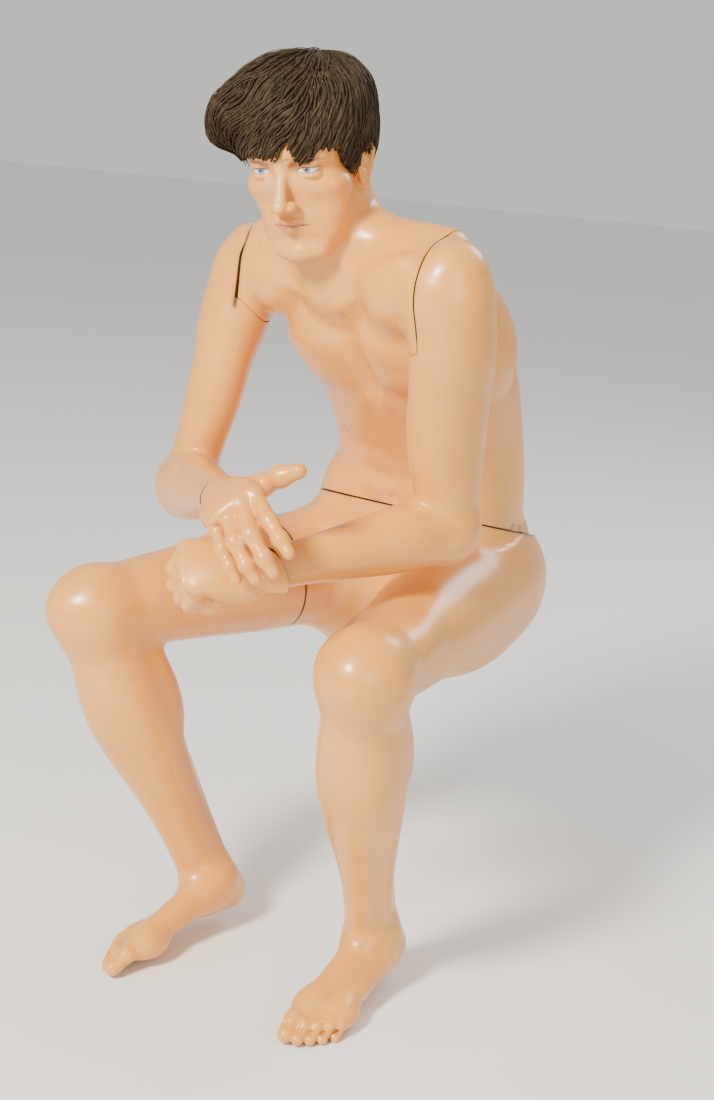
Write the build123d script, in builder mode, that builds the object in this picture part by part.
"""Seated full-body display mannequin, leaning forward with the wrists crossed.

Hollow glass-fibre shells close on board discs and lock together with steel fittings:
the torso lifts off a waist post, the arms and the right leg turn on bayonet studs,
the hands draw off wrist spigots, and the wig lifts off the head.

Frame, in millimetres: origin on the flat seat face under the pelvis, +Z up, -Y the way
the figure faces, +X to the figure's own left.
"""

import os

from build123d import *

# ---------------------------------------------------------------- driving dimensions
SEAT_HEIGHT = 420.0  # seat face above the floor
FLOOR = -SEAT_HEIGHT
WALL = 4.0  # glass-fibre shell
SEAM = 0.5  # half of the gap between two shells that come apart
SLACK = 0.3  # gap round a part that is set inside another
BOARD = 10.0  # closing discs

# Joint centres of the figure.
HIP_LEFT = Vector(97, 0, 90)
HIP_RIGHT = Vector(-97, 5, 90)
KNEE_LEFT = Vector(125, -448, 76)
KNEE_RIGHT = Vector(-298, -392, 66)
ANKLE_LEFT = Vector(92, -302, -338)
ANKLE_RIGHT = Vector(-182, -263, -342)
SHOULDER_LEFT = Vector(140, -316, 532)
SHOULDER_RIGHT = Vector(-206, -180, 514)
ELBOW_LEFT = Vector(133, -255, 223)
ELBOW_RIGHT = Vector(-252, -229, 213)
WRIST_LEFT = Vector(-8, -487, 197)
WRIST_RIGHT = Vector(-78, -466, 275)
HEAD = Vector(-66, -286, 667)  # midway between the ears

# Seams: a point on each and the direction that the detached piece leaves in.
WAIST_POINT = Vector(8, -24, 180)
WAIST_OUT = Vector(0.05, 0.26, 0.96).normalized()
ARM_OUT_LEFT = Vector(0.985, -0.17, 0).normalized()
ARM_POINT_LEFT = SHOULDER_LEFT - ARM_OUT_LEFT * 14
ARM_OUT_RIGHT = Vector(-0.995, 0.05, 0.08).normalized()
ARM_POINT_RIGHT = SHOULDER_RIGHT - ARM_OUT_RIGHT * 17
SHOULDER_BOARD = 49.0
THIGH_SHARE = 0.36  # of the way from the right hip to the knee
THIGH_OUT = (KNEE_RIGHT - HIP_RIGHT).normalized()
THIGH_POINT = HIP_RIGHT + (KNEE_RIGHT - HIP_RIGHT) * THIGH_SHARE
WAIST_FRONT = Vector(0, -0.965, 0.26)
SEAM_RIGHT_SHOULDER = 2.0
SHOULDERS = [
    (ARM_POINT_LEFT, ARM_OUT_LEFT, SEAM),
    (ARM_POINT_RIGHT, ARM_OUT_RIGHT, SEAM_RIGHT_SHOULDER),
]

# Hands: wrist, the way the palm runs, and the way the back of the hand looks.
HAND_LEFT = (WRIST_LEFT, Vector(-0.86, -0.50, 0.02), Vector(0.33, -0.56, 0.76))
HAND_RIGHT = (WRIST_RIGHT, Vector(0.61, -0.785, 0.10), Vector(-0.52, -0.306, 0.797))
# Palm sections: reach from the wrist, half width, half depth, and drop below the wrist's line.
PALM = [
    (-20, 28, 21, 0),
    (0, 29, 20, 0),
    (25, 36, 20, 4),
    (55, 42, 18, 4),
    (82, 42, 15, 3),
    (96, 38, 11, 3),
]
# Each finger: knuckle along the palm and towards the thumb, bone lengths, thickness.
FINGERS = [
    (92, 27, (47, 28, 20), 10.5),
    (94, 8, (52, 32, 20), 10.5),
    (86, -11, (48, 31, 20), 10.0),
    (77, -29, (38, 24, 18), 9.0),
]
# Each finger's spread and its bend at the three joints, in degrees.
FIST = [(0, 78, 95, 60), (0, 80, 98, 60), (0, 80, 98, 60), (0, 78, 98, 60)]
THUMB_LEFT = [(25, 24, -12), (58, 42, -6), (88, 30, -14), (108, 14, -26)]
THUMB_RIGHT = [(25, 24, -12), (55, 44, -6), (76, 66, -6), (92, 86, -10)]
DRAPED = [(-9, 34, 12, 8), (-17, 28, 32, 18), (-20, 28, 33, 18), (-25, 42, 15, 8)]
WRIST_SEAM = -16.0  # along the forearm from the wrist
JOINT_REACH = 80.0  # radius over which the shoulder seam is cut

UP = Vector(0, 0, 1)
SIDE = Vector(1, 0, 0)
# The chest is turned to the figure's right of the pelvis.
CHEST_SIDE = (SHOULDER_LEFT - SHOULDER_RIGHT).normalized()
HEAD_FRONT = Vector(0.02, -0.963, -0.27).normalized()
HEAD_UP = Vector(-0.10, -0.27, 0.957)
HEAD_SIDE = HEAD_FRONT.cross(HEAD_UP).normalized() * -1
HEAD_UP = (HEAD_SIDE.cross(HEAD_FRONT) * -1).normalized()

# Limb sections: share of the bone, half width across, half depth, and how far the
# centre lies behind the bone.
THIGH = [
    (-0.02, 86, 82, 0),
    (0.2, 86, 80, 0),
    (0.42, 79, 75, 0),
    (0.65, 69, 67, 0),
    (0.85, 61, 61, 0),
    (1.0, 57, 56, 0),
]
SHANK = [
    (0.0, 55, 54, 0),
    (0.13, 54, 55, 6),
    (0.3, 59, 60, 12),
    (0.5, 52, 53, 9),
    (0.72, 38, 41, 2),
    (0.9, 32, 38, 0),
    (1.0, 32, 40, 2),
]
UPPER_ARM = [
    (-0.12, 30, 34, 0),
    (0.0, 47, 53, 0),
    (0.14, 50, 59, 0),
    (0.28, 46, 60, 0),
    (0.48, 41, 56, 0),
    (0.76, 38, 50, 0),
    (1.0, 38, 42, 0),
]
FOREARM = [
    (0.0, 40, 41, 0),
    (0.18, 43, 43, 0),
    (0.45, 38, 37, 0),
    (0.75, 30, 28, 0),
    (0.93, 28, 22, 0),
    (1.06, 29, 21, 0),
]
# Foot sections: share of the length from the heel, sole height, instep height, half width.
FOOT = [
    (0.01, 34, 62, 15),
    (0.09, 23, 96, 29),
    (0.22, 22, 124, 33),
    (0.36, 30, 116, 34),
    (0.5, 26, 90, 38),
    (0.65, 8, 66, 44),
    (0.78, 1, 46, 48),
    (0.9, 2, 32, 44),
    (0.99, 6, 21, 31),
]
FOOT_LENGTH = 272.0
HEEL_LEFT = Vector(111, -240, FLOOR)
HEEL_RIGHT = Vector(-152, -211, FLOOR)
FOOT_WAY_LEFT = Vector(-25, -270, 0).normalized()
FOOT_WAY_RIGHT = Vector(-77, -260, 0).normalized()
SKULL = (77, 98, 86)  # half sizes across, front to back and upwards
HAIR = (110, 116, 102)

# ---------------------------------------------------------------- shared shapes


def towards(origin, normal, side):
    """The plane at origin square to normal, its x direction as near side as it can be."""
    square = (side - normal * side.dot(normal)).normalized()
    return Plane(origin=origin, x_dir=square, z_dir=normal)


def skin(stations, inset=0.0):
    """A form through ellipses, each given as (plane, half width, half depth)."""
    with BuildPart() as form:
        for plane, half_width, half_depth in stations:
            with BuildSketch(plane):
                Ellipse(half_width - inset, half_depth - inset)
        loft()
    return form.part


def limb(start, end, sections, side, inset=0.0):
    """A limb along the straight bone from start to end."""
    bone = (end - start).normalized()
    square = (side - bone * side.dot(bone)).normalized()
    behind = bone.cross(square)
    stations = []
    for share, half_width, half_depth, back in sections:
        centre = start + (end - start) * share + behind * back
        stations.append((towards(centre, bone, side), half_width, half_depth))
    return skin(stations, inset)


def ball(centre, radius, inset=0.0):
    with BuildPart() as form:
        with Locations(centre):
            Sphere(radius - inset)
    return form.part


def egg(centre, front, up, half_sizes, inset=0.0):
    """An ellipsoid: half sizes across, front to back and upwards."""
    across, deep, tall = (size - inset for size in half_sizes)
    steps = (-0.995, -0.93, -0.75, -0.4, 0.0, 0.4, 0.75, 0.93, 0.995)
    side = front.cross(up)
    stations = [
        (towards(centre + up * tall * s, up, side), across * (1 - s * s) ** 0.5, deep * (1 - s * s) ** 0.5)
        for s in steps
    ]
    return skin(stations)


def foot(heel, direction, inset=0.0):
    """A foot pitched for a shoe heel, from the heel's back along a level direction."""
    across = direction.cross(UP)
    stations = []
    for share, sole, instep, half_width in FOOT:
        middle = heel + direction * FOOT_LENGTH * share + UP * (sole + instep) / 2
        stations.append((towards(middle, direction, across), half_width, (instep - sole) / 2))
    return skin(stations, inset)


def beyond(part, point, out):
    """The side of part that lies past the plane through point, the way out points."""
    with BuildPart() as kept:
        add(part)
        split(bisect_by=Plane(origin=point, z_dir=out), keep=Keep.TOP)
    return kept.part


def slab(part, point, out, low, high):
    """What part has between two planes square to out."""
    return beyond(beyond(part, point + out * low, out), point + out * high, out * -1)


def united(*forms):
    with BuildPart() as whole:
        for form in forms:
            add(form)
    return whole.part


def hollow(form):
    """The shell between a form and the same form drawn in by the wall."""
    with BuildPart() as shell:
        add(form(0.0))
        add(form(WALL), mode=Mode.SUBTRACT)
    return shell.part


def rod(point, out, radius, low, high):
    with BuildPart() as bar:
        with BuildSketch(Plane(origin=point + out * low, z_dir=out)):
            Circle(radius)
        extrude(amount=high - low)
    return bar.part


def rods(point, out, side, radius, pitch_radius, count, low, high, turn=0.0):
    """Equal bars on a circle about out."""
    with BuildPart() as ring:
        with BuildSketch(towards(point + out * low, out, side)):
            with PolarLocations(pitch_radius, count, start_angle=turn):
                Circle(radius)
        extrude(amount=high - low)
    return ring.part


def less(part, *cuts):
    with BuildPart() as kept:
        add(part)
        for cut in cuts:
            add(cut, mode=Mode.SUBTRACT)
    return kept.part


def write(name, part):
    part.label = name
    export_step(part, f"parts/{name}.step")
    print(name, len(part.solids()), round(part.volume / 1000), "cm3")


# ---------------------------------------------------------------- body forms

CHEST = [  # centre, half width, half depth, share of the chest's turn
    (Vector(6, -18, 120), 162, 118, 0.0),
    (Vector(8, -22, 185), 152, 110, 0.0),
    (Vector(21, -36, 245), 134, 104, 0.15),
    (Vector(24, -62, 310), 131, 106, 0.4),
    (Vector(19, -104, 378), 140, 111, 0.7),
    (Vector(-3, -152, 440), 143, 114, 0.9),
    (Vector(-20, -202, 500), 144, 103, 1.0),
    (Vector(-34, -242, 548), 122, 82, 1.0),
    (Vector(-38, -256, 584), 58, 52, 1.0),
]
PELVIS = [  # height, centre y, half width, half depth
    (0, 0, 122, 92),
    (22, 2, 152, 120),
    (60, 4, 170, 132),
    (100, 2, 172, 130),
    (140, -8, 166, 122),
    (185, -20, 154, 111),
    (240, -36, 143, 106),
]


NECK = [  # centre, half width, half depth
    (Vector(-34, -240, 552), 74, 66),
    (Vector(-46, -250, 590), 60, 60),
    (Vector(-58, -258, 625), 57, 60),
    (Vector(-64, -264, 655), 57, 60),
]
NECK_WAY = Vector(-0.3, -0.25, 0.92).normalized()
YOKE_FROM = Vector(-33, -238, 520)
# Share of the way to a shoulder, half height, half depth.
YOKE = [(0.2, 76, 70), (0.6, 68, 63), (0.95, 58, 55)]


def chest_form(inset):
    stations = []
    for i, (centre, half_width, half_depth, turn) in enumerate(CHEST):
        below = CHEST[max(i - 1, 0)][0]
        above = CHEST[min(i + 1, len(CHEST) - 1)][0]
        side = (SIDE * (1 - turn) + CHEST_SIDE * turn).normalized()
        stations.append((towards(centre, (above - below).normalized(), side), half_width, half_depth))
    return skin(stations, inset)


def yoke_form(shoulder, inset):
    """The muscle between the foot of the neck and a shoulder."""
    way = shoulder - YOKE_FROM
    stations = [
        (towards(YOKE_FROM + way * share, way.normalized(), UP), half_height, half_depth)
        for share, half_height, half_depth in YOKE
    ]
    return united(skin(stations, inset), ball(shoulder, 62, inset))


def torso_form(inset):
    neck = skin([(towards(at, NECK_WAY, CHEST_SIDE), wide, deep) for at, wide, deep in NECK], inset)
    left = yoke_form(SHOULDER_LEFT, inset)
    right = yoke_form(SHOULDER_RIGHT, inset)
    return united(chest_form(inset), left, right, neck, head_form(inset))


def head_form(inset):
    skull = egg(HEAD + HEAD_UP * 36 - HEAD_FRONT * 4, HEAD_FRONT, HEAD_UP, SKULL, inset)
    jaw = egg(HEAD - HEAD_UP * 40 + HEAD_FRONT * 42, HEAD_FRONT, HEAD_UP, (58, 56, 76), inset)
    return united(skull, jaw)


def pelvis_form(inset):
    bowl = skin(
        [
            (Plane(origin=(0, y, max(z, inset)), z_dir=UP), half_width, half_depth)
            for z, y, half_width, half_depth in PELVIS
        ],
        inset,
    )
    return united(bowl, thigh_form(HIP_LEFT, KNEE_LEFT, inset), thigh_form(HIP_RIGHT, KNEE_RIGHT, inset))


def thigh_form(hip, knee, inset):
    return limb(hip, knee, THIGH, SIDE, inset)


def lower_leg_form(knee, ankle, heel, direction, inset):
    return united(
        ball(knee, 59, inset),
        limb(knee, ankle, SHANK, direction.cross(UP) * -1, inset),
        foot(heel, direction, inset),
    )


def upper_arm_form(shoulder, elbow, out, across, inset):
    top = shoulder + out * 12
    return united(
        ball(shoulder, 62, inset),
        limb(top, elbow, UPPER_ARM, across, inset),
        ball(elbow, 43, inset),
    )


def arm_form(shoulder, elbow, wrist, out, hand_back, inset):
    across = (elbow - shoulder).cross(wrist - elbow).normalized()
    return united(
        upper_arm_form(shoulder, elbow, out, across, inset),
        limb(elbow, wrist, FOREARM, hand_back.cross(wrist - elbow), inset),
    )


def turned(direction, axis, degrees):
    return direction.rotate(Axis((0, 0, 0), axis), degrees)


def bone(start, end, thick, thin, side):
    aim = (end - start).normalized()
    return skin([(towards(start, aim, side), thick, thick), (towards(end, aim, side), thin, thin)])


def finger(knuckle, along, back, lengths, thickness, pose):
    """A chain of tapering bones that bends towards the palm."""
    spread, *bends = pose
    aim = turned(along, back, spread)
    hinge = aim.cross(back)
    joint, radius = knuckle, thickness
    form = ball(joint, radius)
    for length, bend, taper in zip(lengths, bends, (0.93, 0.86, 0.78)):
        aim = turned(aim, hinge, -bend)
        tip, end = joint + aim * length, thickness * taper
        form = united(form, bone(joint, tip, radius * 0.96, end * 0.96, hinge), ball(tip, end))
        joint, radius = tip, end
    return form


def thumb_form(joints, back):
    bones = []
    for start, end, thick, thin in zip(joints, joints[1:], (17, 13, 12), (13, 12, 9)):
        bones.append(bone(start, end, thick, thin * 0.96, back))
        bones.append(ball(end, thin))
    return united(*bones)


def hand_form(hand, poses, mirror, thumb):
    wrist, along, back = hand
    along = along.normalized()
    back = (back - along * back.dot(along)).normalized()
    across = along.cross(back) * mirror
    palm = skin(
        [
            (towards(wrist + along * reach - back * drop, along, across), half_width, half_depth)
            for reach, half_width, half_depth, drop in PALM
        ]
    )
    fingers = []
    for (reach, sideways, lengths, thickness), (spread, *bends) in zip(FINGERS, poses):
        knuckle = wrist + along * reach + across * sideways - back * 2
        fingers.append(finger(knuckle, along, back, lengths, thickness, (spread * -mirror, *bends)))
    joints = [wrist + along * a + across * b + back * c for a, b, c in thumb]
    return united(palm, *fingers, thumb_form(joints, back))


def common(part, other):
    with BuildPart() as shared:
        add(part)
        add(other, mode=Mode.INTERSECT)
    return shared.part


# ---------------------------------------------------------------- fittings


def screws(point, into, side, pitch, count, grow=0.0):
    """Countersunk screws on a circle, heads just under the face that point lies on."""
    heads = rods(point, into, side, 3.8 + grow, pitch, count, 0.1 - grow, 2.0)
    shanks = rods(point, into, side, 2.0 + grow, pitch, count, 1.9, 9.0 + grow)
    return united(heads, shanks)


def bar(point, out, side, length, width, low, high, turn=0.0):
    """A rectangular bar across out, turned from side."""
    with BuildPart() as block:
        with BuildSketch(towards(point + out * low, out, side)):
            Rectangle(length, width, rotation=turn)
        extrude(amount=high - low)
    return block.part


def bayonet(name, point, out, side, half, board):
    """A turning joint at a seam: boards, keyhole plate, stud with lugs, nut and screws."""
    face = point - out * half
    fixed = board(-half - BOARD, -half)
    moving = board(half, half + BOARD)
    keyhole = bar(point, out, side, 35, 9.4, -half - BOARD - 1, -half + 1, turn=75)
    plate = less(
        rod(point, out, 26, -half - 3, -half),
        rod(point, out, 8.05, -half - 4, 1),
        keyhole,
        screws(face, out * -1, side, 20, 4, 0.1),
    )
    stud = united(
        rod(point, out, 8, -half - BOARD - 6, half + BOARD),
        bar(point, out, side, 32, 8, -half - BOARD - 6, -half - BOARD - 2),
        rod(point, out, 18, half + 0.2, half + 3),
        rod(point, out, 6, half + BOARD, half + BOARD + 11),
    )
    nut = less(
        rod(point, out, 11, half + BOARD + 0.2, half + BOARD + 8),
        rod(point, out, 6.05, 0, half + BOARD + 20),
    )
    write(
        f"{name}_fixed_board",
        less(
            fixed,
            rod(point, out, 26.1, -half - 3.1, 1),
            rod(point, out, 8.6, -half - BOARD - 1, 1),
            keyhole,
            screws(face, out * -1, side, 20, 4, 0.1),
        ),
    )
    write(
        f"{name}_moving_board",
        less(moving, rod(point, out, 18.1, -1, half + 3.1), rod(point, out, 8.05, 0, half + BOARD + 1)),
    )
    write(f"{name}_keyhole_plate", plate)
    write(f"{name}_plate_screws", screws(face, out * -1, side, 20, 4))
    write(f"{name}_stud", stud)
    write(f"{name}_nut", nut)


def waist_fittings():
    """Two boards, a post that slides in a socket tube, a locating pin and the screws."""
    point, out, half = WAIST_POINT, WAIST_OUT, SEAM
    lower = slab(pelvis_form(WALL + SLACK), point, out, -half - BOARD, -half)
    upper = slab(torso_form(WALL + SLACK), point, out, half, half + BOARD)
    pin_at = point + (WAIST_FRONT * 70)
    low_face, high_face = point - out * half, point + out * half
    post = united(
        less(rod(point, out, 14, -half - BOARD, 70), rod(point, out, 10, -half - BOARD - 1, 71)),
        less(rod(point, out, 30, -half - 4, -half), rod(point, out, 13, -half - 5, 1)),
    )
    socket = less(
        united(rod(point, out, 18, half, 85), rod(point, out, 34, half, half + 4)),
        rod(point, out, 14.06, 0, 86),
    )
    low_cuts = screws(low_face, out * -1, SIDE, 23, 4, 0.1)
    high_cuts = screws(high_face, out, SIDE, 26, 4, 0.1)
    write(
        "waist_lower_board",
        less(
            lower,
            rod(point, out, 30.1, -half - 4.1, 1),
            rod(point, out, 14.1, -half - BOARD - 1, 1),
            rod(pin_at, out, 5.05, -half - 8, 1),
            low_cuts,
        ),
    )
    write(
        "waist_upper_board",
        less(
            upper,
            rod(point, out, 34.1, 0, half + 4.1),
            rod(point, out, 18.1, 0, half + BOARD + 1),
            rod(pin_at, out, 5.06, 0, half + 8.5),
            high_cuts,
        ),
    )
    write("waist_post", less(post, low_cuts))
    write("waist_socket", less(socket, high_cuts))
    write("waist_post_screws", screws(low_face, out * -1, SIDE, 23, 4))
    write("waist_socket_screws", screws(high_face, out, SIDE, 26, 4))
    write("waist_locating_pin", rod(pin_at, out, 5, -half - 8, half + 8))


def wrist_fittings(name, point, out, side, form, hand):
    """A plug in the forearm, and a two-pinned spigot that is fast in the hand."""
    half = SEAM
    plug = common(rod(point, out, 60, -half - 14, -half), form(WALL + SLACK))
    offset = point + side * 12
    pins = united(
        rod(point, out, 5, -half - 12, half + 22),
        rod(offset, out, 2.5, -half - 9, half + 3),
    )
    flange = bar(point + side * 5, out, side, 32, 12, half + 0.1, half + 2)
    holes = united(
        rod(point, out, 5.05, -half - 15, half + 22.5),
        rod(offset, out, 2.55, -half - 15, half + 3),
    )
    pocket = bar(point + side * 5, out, side, 32.2, 12.2, half - 1, half + 2.1)
    kept = beyond(hand, point + out * half, out)
    write(f"{name}_forearm_plug", less(plug, holes))
    write(f"{name}_spigot", united(pins, flange))
    write(f"{name.split('_')[0]}_hand", less(kept, holes, pocket))


# ---------------------------------------------------------------- wig


def wig():
    """A close woven cap, and the mass of short hair that is sewn to it."""
    centre = HEAD + HEAD_UP * 36 - HEAD_FRONT * 4
    rim = centre + HEAD_UP * 1.5
    dome = egg(centre, HEAD_FRONT, HEAD_UP, SKULL, -2.5)
    cap = beyond(less(dome, egg(centre, HEAD_FRONT, HEAD_UP, SKULL, -0.5)), rim, HEAD_UP)
    mass = egg(HEAD + HEAD_UP * 46 + HEAD_FRONT * 6 - HEAD_SIDE * 8, HEAD_FRONT, HEAD_UP, HAIR)
    with BuildPart() as skirt:
        with BuildSketch(towards(centre + HEAD_UP * 1, HEAD_UP * -1, HEAD_SIDE)):
            Ellipse(91, 103)
        extrude(amount=200)
    room = united(egg(centre, HEAD_FRONT, HEAD_UP, SKULL, -2.8), skirt.part)
    hem = (HEAD_UP * 0.92 - HEAD_FRONT * 0.40).normalized()
    hair = beyond(less(mass, room), HEAD - HEAD_UP * 5, hem)
    write("wig_cap", cap)
    write("wig_hair", hair)


# ---------------------------------------------------------------- build


def torso():
    shell = hollow(torso_form)
    shell = beyond(shell, WAIST_POINT + WAIST_OUT * SEAM, WAIST_OUT)
    for point, out, half in SHOULDERS:
        shell = less(shell, rod(point, out, JOINT_REACH, -half, 200))
    write("torso_shell", shell)


def pelvis():
    shell = hollow(
        lambda inset: united(
            pelvis_form(inset),
            lower_leg_form(KNEE_LEFT, ANKLE_LEFT, HEEL_LEFT, FOOT_WAY_LEFT, inset),
        )
    )
    shell = beyond(shell, WAIST_POINT - WAIST_OUT * SEAM, WAIST_OUT * -1)
    shell = less(shell, rod(THIGH_POINT, THIGH_OUT, 120, -SEAM, 500))
    write("pelvis_shell", shell)


def right_leg():
    shell = hollow(
        lambda inset: united(
            thigh_form(HIP_RIGHT, KNEE_RIGHT, inset),
            lower_leg_form(KNEE_RIGHT, ANKLE_RIGHT, HEEL_RIGHT, FOOT_WAY_RIGHT, inset),
        )
    )
    write("right_leg_shell", beyond(shell, THIGH_POINT + THIGH_OUT * SEAM, THIGH_OUT))


def thigh_board(low, high):
    """A board that fills the right thigh's shell from low to high along it."""
    return slab(thigh_form(HIP_RIGHT, KNEE_RIGHT, WALL + SLACK), THIGH_POINT, THIGH_OUT, low, high)


def arm(name, joints, out, point, half, hand, poses, mirror, thumb):
    shoulder, elbow, wrist = joints
    wrist_out = (wrist - elbow).normalized()
    seam = wrist + wrist_out * WRIST_SEAM

    def form(inset):
        return arm_form(shoulder, elbow, wrist, out, hand[2], inset)

    shell = less(hollow(form), rod(point, out, JOINT_REACH, -300, half))
    write(f"{name}_arm_shell", beyond(shell, seam - wrist_out * SEAM, wrist_out * -1))
    side = hand[2].cross(wrist_out).normalized()
    wrist_fittings(f"{name}_wrist", seam, wrist_out, side, form, hand_form(hand, poses, mirror, thumb))

    def board(low, high):
        return rod(point, out, SHOULDER_BOARD, low, high)

    bayonet(f"{name}_shoulder", point, out, UP, half, board)


os.makedirs("parts", exist_ok=True)
torso()
pelvis()
right_leg()
arm(
    "left",
    (SHOULDER_LEFT, ELBOW_LEFT, WRIST_LEFT),
    ARM_OUT_LEFT,
    ARM_POINT_LEFT,
    SEAM,
    HAND_LEFT,
    FIST,
    1,
    THUMB_LEFT,
)
arm(
    "right",
    (SHOULDER_RIGHT, ELBOW_RIGHT, WRIST_RIGHT),
    ARM_OUT_RIGHT,
    ARM_POINT_RIGHT,
    SEAM_RIGHT_SHOULDER,
    HAND_RIGHT,
    DRAPED,
    -1,
    THUMB_RIGHT,
)
waist_fittings()
bayonet("right_thigh", THIGH_POINT, THIGH_OUT, UP, SEAM, thigh_board)
wig()
